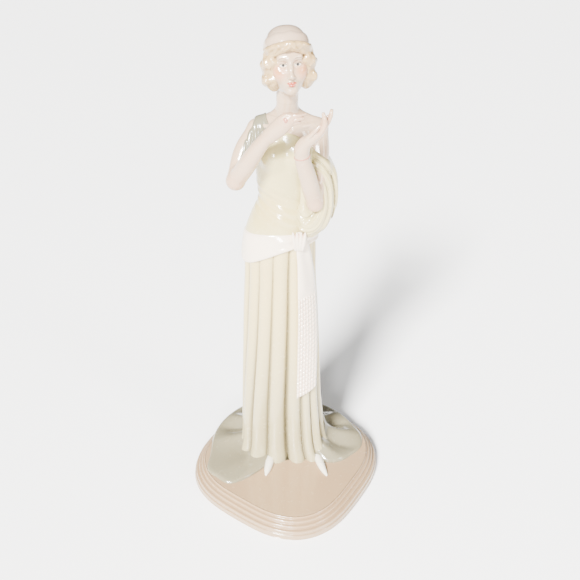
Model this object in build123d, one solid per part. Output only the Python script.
from build123d import *
from math import atan2, cos, pi, radians, sin
import os

# Slip-cast porcelain statuette: a standing lady in a pleated evening gown on a stepped plinth.
#
# Units are millimetres. +Z is up, the lady faces -Y, and the origin is the middle of the plinth's foot.
# Every piece that the potter casts or presses apart, and then lutes on with slip, is one STEP file.
# Luted pieces meet face to face: the piece named first keeps its shape and the later one is cut to it.

# ---- driving dimensions ----------------------------------------------------------------------------
TOTAL_HEIGHT = 300.0
WALL = 3.0  # slip-cast wall of the hollow pieces

PLINTH_CORNER = 65.0  # middle to a rounded corner
PLINTH_SIDE = 58.8  # middle to the middle of a side
PLINTH_TURN = 11.0  # the plinth stands turned under the lady, degrees
PLINTH_HEIGHT = 15.0
PLINTH_STEPS = [(0.0, 1.2), (2.2, 0.0), (5.6, 1.0), (8.2, 3.0), (10.8, 5.0), (13.2, 7.0)]  # (height, set-in)
FOOT_RECESS = 1.5
VENT_RADIUS = 3.0

STANCE_Y = 12.0  # the lady stands behind the middle of the plinth
WAIST_SEAM = 176.0  # where the skirt is luted to the bodice, under the sash
NECK_SEAM = 263.0  # where the head is luted to the neck

# Stations of the body: (height, middle x, half width, half depth in front, half depth behind)
SKIRT = [
    (PLINTH_HEIGHT, -0.5, 31.0, 22.5, 21.0),
    (24.0, -1.4, 29.6, 21.8, 19.6),
    (52.0, -2.9, 27.2, 20.4, 17.8),
    (96.0, -3.3, 25.2, 19.0, 17.0),
    (136.0, -3.5, 23.4, 17.6, 17.2),
    (160.0, -3.7, 22.2, 16.8, 17.6),
    (WAIST_SEAM, -3.7, 21.6, 16.2, 17.0),
]
TORSO = [
    (WAIST_SEAM, -3.7, 21.6, 16.2, 17.0),
    (188.0, -3.2, 20.2, 15.0, 15.0),
    (199.0, -2.0, 17.2, 12.6, 12.0),
    (208.0, -1.0, 14.6, 10.6, 10.2),
    (218.0, -0.9, 15.2, 11.2, 10.2),
    (228.0, -0.4, 16.0, 12.6, 10.6),
    (238.0, 0.2, 16.2, 12.0, 10.4),
    (247.0, 0.5, 16.4, 9.6, 9.4),
    (253.0, 0.4, 12.6, 7.6, 7.6),
    (256.5, 0.2, 8.0, 6.6, 6.8),
]
HOLLOW_TOP = 8  # stations of the torso that the hollow reaches
PLEATS = 22
PLEAT_DEPTH = 0.055  # share of the radius, at the hem
PLEAT_FADE = 0.35  # share of that depth left at the hips

# Edge of the train on the plinth, from the right of the skirt round behind it to the left: (x, y)
TRAIN_EDGE = [
    (32, -8), (44, -5), (53, 5), (52, 16), (42, 33), (26, 47), (4, 54), (-18, 53), (-36, 44),
    (-48, 29), (-53, 10), (-53, -12), (-45, -23), (-34, -28), (-24, -22), (-18, -8), (6, -4),
]
TRAIN_RISE = [(0.0, 1.0), (1.6, 0.985), (3.4, 0.8), (6.0, 0.5), (12.0, 0.25), (22.0, 0.08)]  # (height, share)
SHOES = {
    "right_shoe": ((-12.6, -14.6, 16.6), (3.3, 8.2, 2.8), -10.0),  # (centre, half sizes, toe turned out)
    "left_shoe": ((25.0, -14.4, 16.4), (3.2, 9.0, 2.6), 12.0),
}

# Neckline in front view, from her right shoulder to her left armpit: (x, height)
NECKLINE = [(-40.0, 262.0), (-11.5, 258.0), (-6.5, 250.0), (1.0, 246.5), (9.0, 244.0), (17.0, 241.0), (40.0, 239.0)]

# Limbs: points (x, y, z) with the radius there
RIGHT_SHOULDER = ((-15.6, 12.4, 246.6), 5.6)
RIGHT_UPPER = ((-22.8, 6.6, 236.4), 5.7)
RIGHT_ELBOW = ((-27.3, -1.0, 223.4), 5.1)
RIGHT_FOREARM = ((-18.2, -8.0, 239.4), 4.7)
RIGHT_WRIST = ((-9.4, -12.7, 252.8), 3.3)
ELBOW_COVER = 0.35
LEFT_SHOULDER = ((16.6, 12.4, 247.0), 5.8)
LEFT_UPPER = ((17.8, 8.0, 233.0), 5.3)
LEFT_ELBOW = ((15.6, -2.6, 210.8), 4.6)
LEFT_FOREARM = ((11.6, -6.3, 226.6), 4.7)
LEFT_WRIST = ((7.9, -9.5, 243.4), 3.8)
NECK = [((0.2, 12.4, 254.0), 6.9), ((0.3, 11.9, 259.0), 6.0), ((0.5, 11.4, NECK_SEAM + 2), 5.7)]
NECK_BORE = 2.4

RIGHT_PALM = [((-8.0, -13.1, 254.0), 3.1), ((-2.4, -15.0, 259.8), 2.9)]
RIGHT_FINGERS = [
    [((-1.0, -14.9, 262.8), 1.9), ((4.6, -15.0, 267.6), 1.4), ((8.0, -13.8, 267.7), 1.0)],
    [((-0.6, -15.4, 261.6), 1.9), ((5.6, -15.7, 265.4), 1.4), ((9.1, -14.4, 265.5), 1.0)],
    [((-0.4, -15.4, 260.0), 1.9), ((5.2, -15.7, 263.2), 1.3), ((8.2, -14.8, 263.3), 1.0)],
    [((-0.8, -14.6, 258.4), 1.7), ((4.2, -15.2, 261.0), 1.2), ((6.5, -14.6, 261.2), 0.9)],
]
RING_CENTRE = (-0.6, -17.2, 261.9)
RING_HALF = (1.5, 1.2, 1.9)
LEFT_PALM = [
    ((7.9, -9.9, 245.6), 3.8), ((9.8, -10.5, 248.8), 3.4), ((13.4, -11.0, 251.8), 2.8), ((16.6, -11.2, 254.4), 2.2),
]
LEFT_FINGERS = [
    [((16.4, -12.0, 254.4), 1.8), ((19.1, -12.7, 260.4), 1.4), ((18.2, -12.3, 264.6), 1.0)],
    [((17.2, -10.4, 254.4), 1.7), ((21.4, -10.0, 261.6), 1.3), ((22.4, -9.5, 265.6), 1.0)],
    [((16.4, -8.6, 253.2), 1.5), ((19.4, -7.9, 257.8), 1.2), ((20.8, -7.4, 261.6), 0.9)],
    [((15.6, -7.8, 253.2), 1.4), ((18.0, -6.6, 257.0), 1.1), ((18.8, -6.0, 260.2), 0.9)],
    [((8.6, -11.6, 249.2), 1.7), ((13.0, -13.4, 255.0), 1.2), ((16.6, -13.2, 258.6), 0.9)],
]
BRACELET_HEIGHT = 0.84  # place along the left forearm, from the elbow to the wrist
BRACELET_WIRE = 0.7

# Head: the face looks along -Y before the head is turned
HEAD_PIVOT = (0.8, 12.0, 284.0)
HEAD_YAW = 6.0  # towards her left, degrees
HEAD_TILT = -3.0  # the crown towards her right, a little
HEAD_LIFT = 9.0  # chin up
SKULL_HALF = (9.7, 11.9, 12.4)
JAW = ((0.0, -4.4, -8.4), (7.5, 8.0, 8.6))  # centre from the pivot, half sizes
NOSE = [((0.0, -10.6, -2.6), 0.9), ((0.0, -13.0, -7.4), 1.35)]
HAIR = ((0.0, 2.2, -6.2), (14.4, 13.0, 11.4))
FACE_OPENING = ((0.0, -12.4, -9.4), (8.2, 9.4, 14.2))
CAP_HALF = (11.7, 14.0, 12.2)
CAP_BACK = 3.6  # the cap sits this far behind the pivot
BAND_SWELL = 0.8  # how far the band stands out from the cap
BRIM_RADIUS = 19.0  # the brim is arched over the forehead
BAND_WIDTH = 4.6
BRIM_FRONT = 9.6  # height of the brim over the forehead, above the pivot
CAP_SEAT = TOTAL_HEIGHT - CAP_HALF[2]  # height of the cap's centre

# Cloth laid over the figure
DRAPE = [((-9.0, 12.0, 250.6), 6.6), ((-15.4, 12.2, 247.0), 8.0), ((-19.6, 9.2, 241.2), 7.8)]
DRAPE_FALL = [(-30.0, 250.0), (-10.0, 256.0), (-8.6, 247.0), (-8.2, 236.0), (-14.0, 232.0), (-30.0, 232.0)]
STOLE_PATH = [(-24.0, 252.0), (-8.0, 256.0), (8.0, 248.0), (26.0, 238.0), (26.0, 216.0), (10.0, 226.0), (-24.0, 240.0)]
STOLE_LOOP = [
    ((18.6, 17.0, 238.0), 3.6), ((23.0, 11.0, 231.0), 4.2), ((23.6, 5.6, 217.0), 4.8),
    ((21.4, 2.6, 203.0), 5.8), ((16.6, 0.4, 192.6), 6.4),
]
CLOTH = 2.6  # how far laid cloth stands out from the body
SASH_EASE = 0.3  # slip gap under the sash
SASH_BAND = [
    (-32.0, 187.0), (-24.0, 188.5), (-13.0, 190.6), (-3.4, 191.6), (6.0, 192.4), (14.0, 191.0), (30.0, 188.5),
    (30.0, 181.5), (6.0, 182.0), (-3.4, 179.0), (-13.0, 174.3), (-21.0, 170.0), (-26.0, 166.0), (-32.0, 164.0),
]
KNOT = ((8.0, -2.6, 187.4), (4.6, 4.4, 6.6))
TAIL = [
    (5.0, 187.0), (12.6, 187.0), (14.4, 176.0), (19.8, 129.0), (20.9, 77.0), (7.6, 70.2), (6.2, 129.0), (5.6, 176.0),
]

# Blocks that only cut
CUTTER = 120.0
RING_POINTS = 24  # points round a plain section
PLEAT_POINTS = 4  # points round each pleat
SKIRT_WALL = 1.6 * WALL
TORSO_WALL = 1.2 * WALL


# ---- shared shapes ---------------------------------------------------------------------------------
def ring_point(angle, middle_x, half_width, front, back, pleat=0.0):
    """A point at an angle on a body section, fluted by the pleats."""
    c, s = cos(angle), sin(angle)
    flute = 1.0 - pleat * (0.5 + 0.5 * cos(PLEATS * angle))
    return Vector(middle_x + c * half_width * flute, STANCE_Y + s * (back if s >= 0 else front) * flute)


def section(height, middle_x, half_width, front, back, pleat=0.0):
    count = PLEATS * PLEAT_POINTS if pleat else RING_POINTS
    ring = [ring_point(2 * pi * i / count, middle_x, half_width, front, back, pleat) for i in range(count)]
    return Wire([Spline([Vector(p.X, p.Y, height) for p in ring], periodic=True)])


def body_loft(stations, grown=0.0, pleated=False):
    """A solid through the stations, grown or (if negative) shrunk all round."""
    low, high = SKIRT[0][0], SKIRT[-1][0]
    wires = []
    for height, middle_x, half_width, front, back in stations:
        rise = min(1.0, max(0.0, (height - low) / (high - low)))
        pleat = PLEAT_DEPTH * (1 - rise * (1 - PLEAT_FADE)) if pleated else 0.0
        wires.append(section(height, middle_x, half_width + grown, front + grown, back + grown, pleat))
    return Solid.make_loft(wires)


def limb(*joints):
    """A rounded limb through (point, radius) joints: cones between balls."""
    shape = Pos(*joints[0][0]) * Sphere(joints[0][1])
    for (start, start_radius), (end, end_radius) in zip(joints, joints[1:]):
        start, end = Vector(*start), Vector(*end)
        along = end - start
        bone = Solid.make_cone(start_radius, end_radius, along.length, Plane(origin=start, z_dir=along))
        shape = shape + bone + Pos(*end) * Sphere(end_radius)
    return shape


def upper_arm(shoulder, middle, elbow):
    """An upper arm that ends just inside the ball of the forearm's elbow."""
    centre, radius = elbow
    return limb(shoulder, middle, (centre, radius - ELBOW_COVER))


def ellipsoid(centre, half):
    return Pos(*centre) * scale(Sphere(1.0), by=tuple(half))


def below(height):
    return Pos(0, 0, height - CUTTER / 2) * Box(CUTTER, CUTTER, CUTTER)


def above(height):
    return Pos(0, 0, height + CUTTER / 2) * Box(CUTTER, CUTTER, CUTTER)


def through(outline, front=-CUTTER / 2, back=CUTTER / 2):
    """A front-view outline cut straight through from front to back: (x, height) points."""
    face = Face(Wire([*Polyline([(x, 0, z) for x, z in outline], close=True).edges()]))
    return Pos(0, back, 0) * Solid.extrude(face, Vector(0, front - back, 0))


def whole(shape):
    """The largest solid of a cut, without the crumbs beside it."""
    return max(shape.solids(), key=lambda piece: piece.volume)


# ---- plinth ----------------------------------------------------------------------------------------
def plinth_outline(height, set_in):
    """Cushion-cornered square: round corners, softly hollow sides."""
    middle = (PLINTH_CORNER + PLINTH_SIDE) / 2
    swing = (PLINTH_CORNER - PLINTH_SIDE) / 2
    count = 48
    points = []
    for i in range(count):
        angle = 2 * pi * i / count
        reach = middle + swing * cos(4 * (angle - radians(PLINTH_TURN))) - set_in
        points.append(Vector(reach * cos(angle), reach * sin(angle), height))
    return Wire([Spline(points, periodic=True)])


def plinth():
    """Stepped block, hollow, standing on a foot ring, with one vent through floor and top."""
    tiers = PLINTH_STEPS + [(PLINTH_HEIGHT, 0.0)]
    body = Part()
    for (low, set_in), (high, _) in zip(tiers, tiers[1:]):
        body = body + Solid.extrude(Face(plinth_outline(low, set_in)), Vector(0, 0, high - low))
    inner = PLINTH_STEPS[-1][1] + WALL
    floor = WALL + FOOT_RECESS
    hollow = Solid.extrude(Face(plinth_outline(floor, inner)), Vector(0, 0, PLINTH_HEIGHT - WALL - floor))
    recess = Solid.extrude(Face(plinth_outline(0.0, inner)), Vector(0, 0, FOOT_RECESS))
    vent = Pos(0, STANCE_Y, PLINTH_HEIGHT / 2) * Cylinder(VENT_RADIUS, 2 * PLINTH_HEIGHT)
    return body - hollow - recess - vent


# ---- gown ------------------------------------------------------------------------------------------
def gown_skirt():
    """The pleated column: hollow, open below onto the plinth and above into the bodice."""
    low, high = SKIRT[0], SKIRT[-1]
    core = [(low[0] - 1.0, *low[1:]), *SKIRT[1:-1], (high[0] + 1.0, *high[1:])]
    return body_loft(SKIRT, pleated=True) - body_loft(core, -SKIRT_WALL)


def train_outline(height, share):
    """The hem laid out round the skirt: share 1 is the edge of the cloth, 0 the foot of the column."""
    points = []
    for x, y in TRAIN_EDGE:
        near = ring_point(atan2(y - STANCE_Y, x), *SKIRT[1][1:])
        points.append(Vector(near.X + (x - near.X) * share, near.Y + (y - near.Y) * share, height))
    return Wire([Spline(points, periodic=True)])


def gown_train(skirt_outer):
    fan = Solid.make_loft([train_outline(PLINTH_HEIGHT + rise, share) for rise, share in TRAIN_RISE])
    return whole(fan - skirt_outer)


def shoe(centre, half, turn, covers):
    """A pointed toe that looks out from under the hem."""
    toe = Pos(*centre) * Rot(0, 0, turn) * ellipsoid((0, 0, 0), half)
    toe = toe - below(PLINTH_HEIGHT)
    for cover in covers:
        toe = toe - cover
    return whole(toe)


# ---- body ------------------------------------------------------------------------------------------
def under_neckline():
    """Everything below the neckline."""
    low = WAIST_SEAM - 10.0
    curve = Spline([Vector(x, 0, z) for x, z in NECKLINE])
    left, right = NECKLINE[0], NECKLINE[-1]
    rest = Polyline([(right[0], 0, right[1]), (right[0], 0, low), (left[0], 0, low), (left[0], 0, left[1])])
    return Pos(0, -CUTTER / 2, 0) * Solid.extrude(Face(Wire([curve, *rest.edges()])), Vector(0, CUTTER, 0))


def neck_bore():
    """The drain of the casting, from the head down into the bodice."""
    length = HEAD_PIVOT[2] - TORSO[HOLLOW_TOP - 1][0] + 2.0
    return Pos(0.4, STANCE_Y, HEAD_PIVOT[2] - length / 2) * Cylinder(NECK_BORE, length)


def bodice(torso):
    core = [(WAIST_SEAM - 1.0, *TORSO[0][1:]), *TORSO[1:HOLLOW_TOP]]
    return (torso & under_neckline()) - body_loft(core, -TORSO_WALL) - neck_bore()


def bust(torso):
    neck = limb(*NECK) - above(NECK_SEAM)
    core = [*TORSO[1:HOLLOW_TOP]]
    return (torso - under_neckline()) + neck - body_loft(core, -TORSO_WALL) - neck_bore()


def bracelet():
    """A thin band lying round the left forearm above the wrist."""
    elbow, wrist = Vector(*LEFT_FOREARM[0]), Vector(*LEFT_WRIST[0])
    along = wrist - elbow
    radius = LEFT_FOREARM[1] + (LEFT_WRIST[1] - LEFT_FOREARM[1]) * BRACELET_HEIGHT
    place = Plane(origin=elbow + along * BRACELET_HEIGHT, z_dir=along)
    return place * Torus(radius, BRACELET_WIRE)


def hand(palm, fingers):
    shape = limb(*palm)
    for finger in fingers:
        shape = shape + limb(*finger)
    return shape


# ---- head ------------------------------------------------------------------------------------------
def turned(shape):
    return Pos(*HEAD_PIVOT) * Rot(0, 0, HEAD_YAW) * Rot(-HEAD_LIFT, 0, 0) * Rot(0, HEAD_TILT, 0) * shape


def arch(radius):
    """A rod from front to back: what lies under the arched brim."""
    return Pos(0, 0, BRIM_FRONT - BRIM_RADIUS) * Rot(90, 0, 0) * Cylinder(radius, CUTTER)


def head_solid():
    shape = ellipsoid((0, 0, 0), SKULL_HALF) + ellipsoid(*JAW) + limb(*NOSE)
    return turned(shape) + (limb(*NECK) - below(NECK_SEAM))


def head():
    core = [half - WALL for half in SKULL_HALF]
    return head_solid() - turned(ellipsoid((0, 0, 0), core)) - neck_bore() - below(NECK_SEAM)


def cap_dome(grown):
    centre = (HEAD_PIVOT[0], HEAD_PIVOT[1] + CAP_BACK, CAP_SEAT)
    return ellipsoid(centre, [half + grown for half in CAP_HALF])


def hair():
    """The bob under the brim: full at the sides, open in front of the face."""
    return whole(turned((ellipsoid(*HAIR) - ellipsoid(*FACE_OPENING)) & arch(BRIM_RADIUS)) - head_solid())


def cap_band():
    ring = turned(arch(BRIM_RADIUS + BAND_WIDTH) - arch(BRIM_RADIUS))
    return whole((cap_dome(BAND_SWELL) & ring & above(HEAD_PIVOT[2] - 2.0)) - head_solid())


def cap():
    return whole(cap_dome(0.0) - turned(arch(BRIM_RADIUS + BAND_WIDTH)) - head_solid())


# ---- laid cloth ------------------------------------------------------------------------------------
def cut(shape, *others):
    for other in others:
        shape = shape - other
    return whole(shape)


def shoulder_drape():
    """The gown's cloth over her right shoulder, falling in front of and behind the arm."""
    fall = body_loft(TORSO[3:], CLOTH - 0.8) & through(DRAPE_FALL)
    return limb(*DRAPE) + fall


def stole_back():
    """The stole across her back, from the right shoulder down to the left arm."""
    return body_loft(TORSO[2:], CLOTH) & through(STOLE_PATH, front=STANCE_Y + 2.0)


def hip_sash():
    """The band wound round the hips, wide on her right and drawn up to the knot."""
    hips = [*SKIRT[2:], *TORSO[1:7]]
    return (body_loft(hips, CLOTH) - body_loft(hips, SASH_EASE)) & through(SASH_BAND)


def sash_tail():
    """The loose end of the sash, hanging down the front of the skirt."""
    front = [*SKIRT[1:], *TORSO[1:3]]
    return body_loft(front, CLOTH) & through(TAIL, back=STANCE_Y - 4.0)


def pieces():
    torso = body_loft(TORSO)
    skirt_outer = body_loft(SKIRT, pleated=True)
    right_hand = hand(RIGHT_PALM, RIGHT_FINGERS)
    left_hand = hand(LEFT_PALM, LEFT_FINGERS)
    right_forearm = limb(RIGHT_ELBOW, RIGHT_FOREARM, RIGHT_WRIST)
    left_forearm = limb(LEFT_ELBOW, LEFT_FOREARM, LEFT_WRIST)
    right_upper_arm = upper_arm(RIGHT_SHOULDER, RIGHT_UPPER, RIGHT_ELBOW)
    left_upper_arm = upper_arm(LEFT_SHOULDER, LEFT_UPPER, LEFT_ELBOW)
    arms = [right_hand, left_hand, right_forearm, left_forearm, right_upper_arm, left_upper_arm]
    ring = ellipsoid(RING_CENTRE, RING_HALF)
    band = bracelet()
    neck = limb(*NECK)
    drape = shoulder_drape()
    loop = limb(*STOLE_LOOP)
    knot = ellipsoid(*KNOT)
    tail = sash_tail()

    yield "plinth", plinth()
    yield "gown_skirt", gown_skirt()
    train = gown_train(skirt_outer)
    yield "gown_train", train
    for name, (centre, half, turn) in SHOES.items():
        yield name, shoe(centre, half, turn, [skirt_outer, train])
    yield "bodice", cut(bodice(torso), *arms)
    yield "bust", cut(bust(torso), *arms)
    yield "ring", ring
    yield "right_hand", cut(right_hand, ring)
    yield "right_forearm", cut(right_forearm, right_hand)
    yield "right_upper_arm", cut(right_upper_arm, right_forearm)
    yield "bracelet", cut(band, left_hand)
    yield "left_hand", left_hand
    yield "left_forearm", cut(left_forearm, left_hand, band)
    yield "left_upper_arm", cut(left_upper_arm, left_forearm)
    yield "head", head()
    yield "hair", hair()
    yield "cap_band", cap_band()
    yield "cap", cap()
    yield "shoulder_drape", cut(drape, torso, neck, *arms)
    yield "stole_loop", cut(loop, torso, skirt_outer, *arms, knot)
    yield "stole_back", cut(stole_back(), torso, *arms, drape, loop)
    yield "sash_knot", cut(knot, torso, skirt_outer)
    yield "sash_tail", cut(tail, torso, skirt_outer, knot, loop)
    yield "hip_sash", cut(hip_sash(), torso, knot, tail, loop)


os.makedirs("parts", exist_ok=True)
for node, shape in pieces():
    export_step(shape, f"parts/{node}.step")
